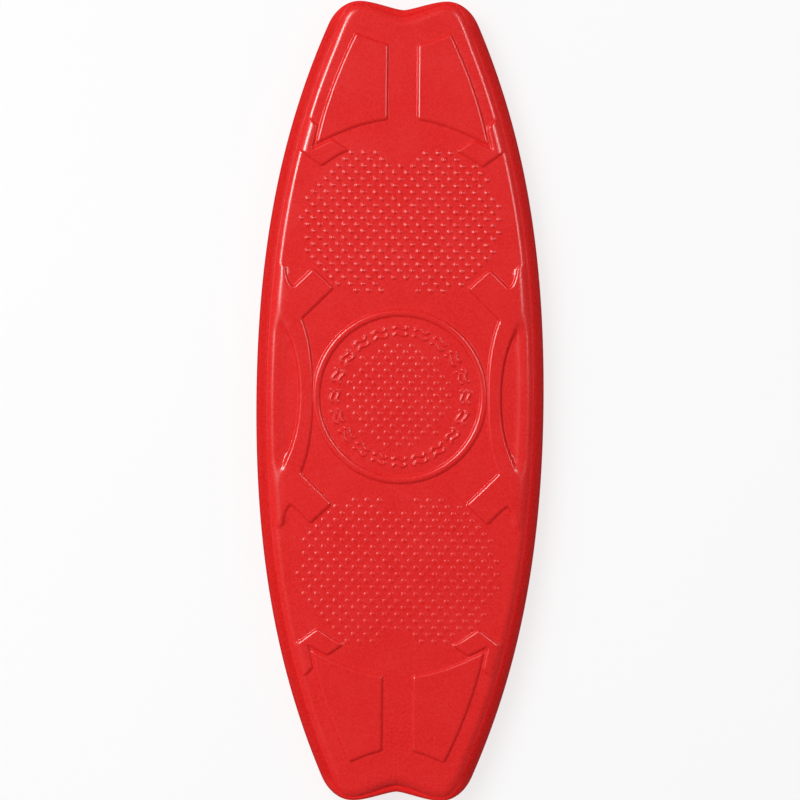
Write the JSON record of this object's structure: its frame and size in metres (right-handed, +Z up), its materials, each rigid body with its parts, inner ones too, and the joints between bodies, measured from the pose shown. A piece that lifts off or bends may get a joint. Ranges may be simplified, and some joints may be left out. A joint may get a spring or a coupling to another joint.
{
  "type": "bodyboard",
  "caption": "Soft foam bodyboard with notched nose and tail, raised grip pads, side bands with grip recesses, fields of raised dots and a ringed centre.",
  "frame": {"origin": "on the ground under the middle of the board, centre of the bottom of its bounding box", "axes": "+X to the rider's right, +Y towards the nose, +Z up out of the deck"},
  "size_m": [0.329, 0.914, 0.0525],
  "materials": {
    "deck_foam": "satin",
    "rail_foam": "satin",
    "core_foam": "matte",
    "stringer_fibre": "satin",
    "plug_plastic": "matte",
    "backing_foam": "matte",
    "slick_plastic": "gloss"
  },
  "bodies": {
    "root": {"deck_skin": "deck_foam", "left_rail": "rail_foam", "right_rail": "rail_foam", "core_upper": "core_foam", "core_lower": "core_foam", "stringer_tube": "stringer_fibre", "stringer_plug_front": "plug_plastic", "stringer_plug_rear": "plug_plastic", "bottom_skin": "backing_foam", "slick_sheet": "slick_plastic"}
  },
  "joints": []
}
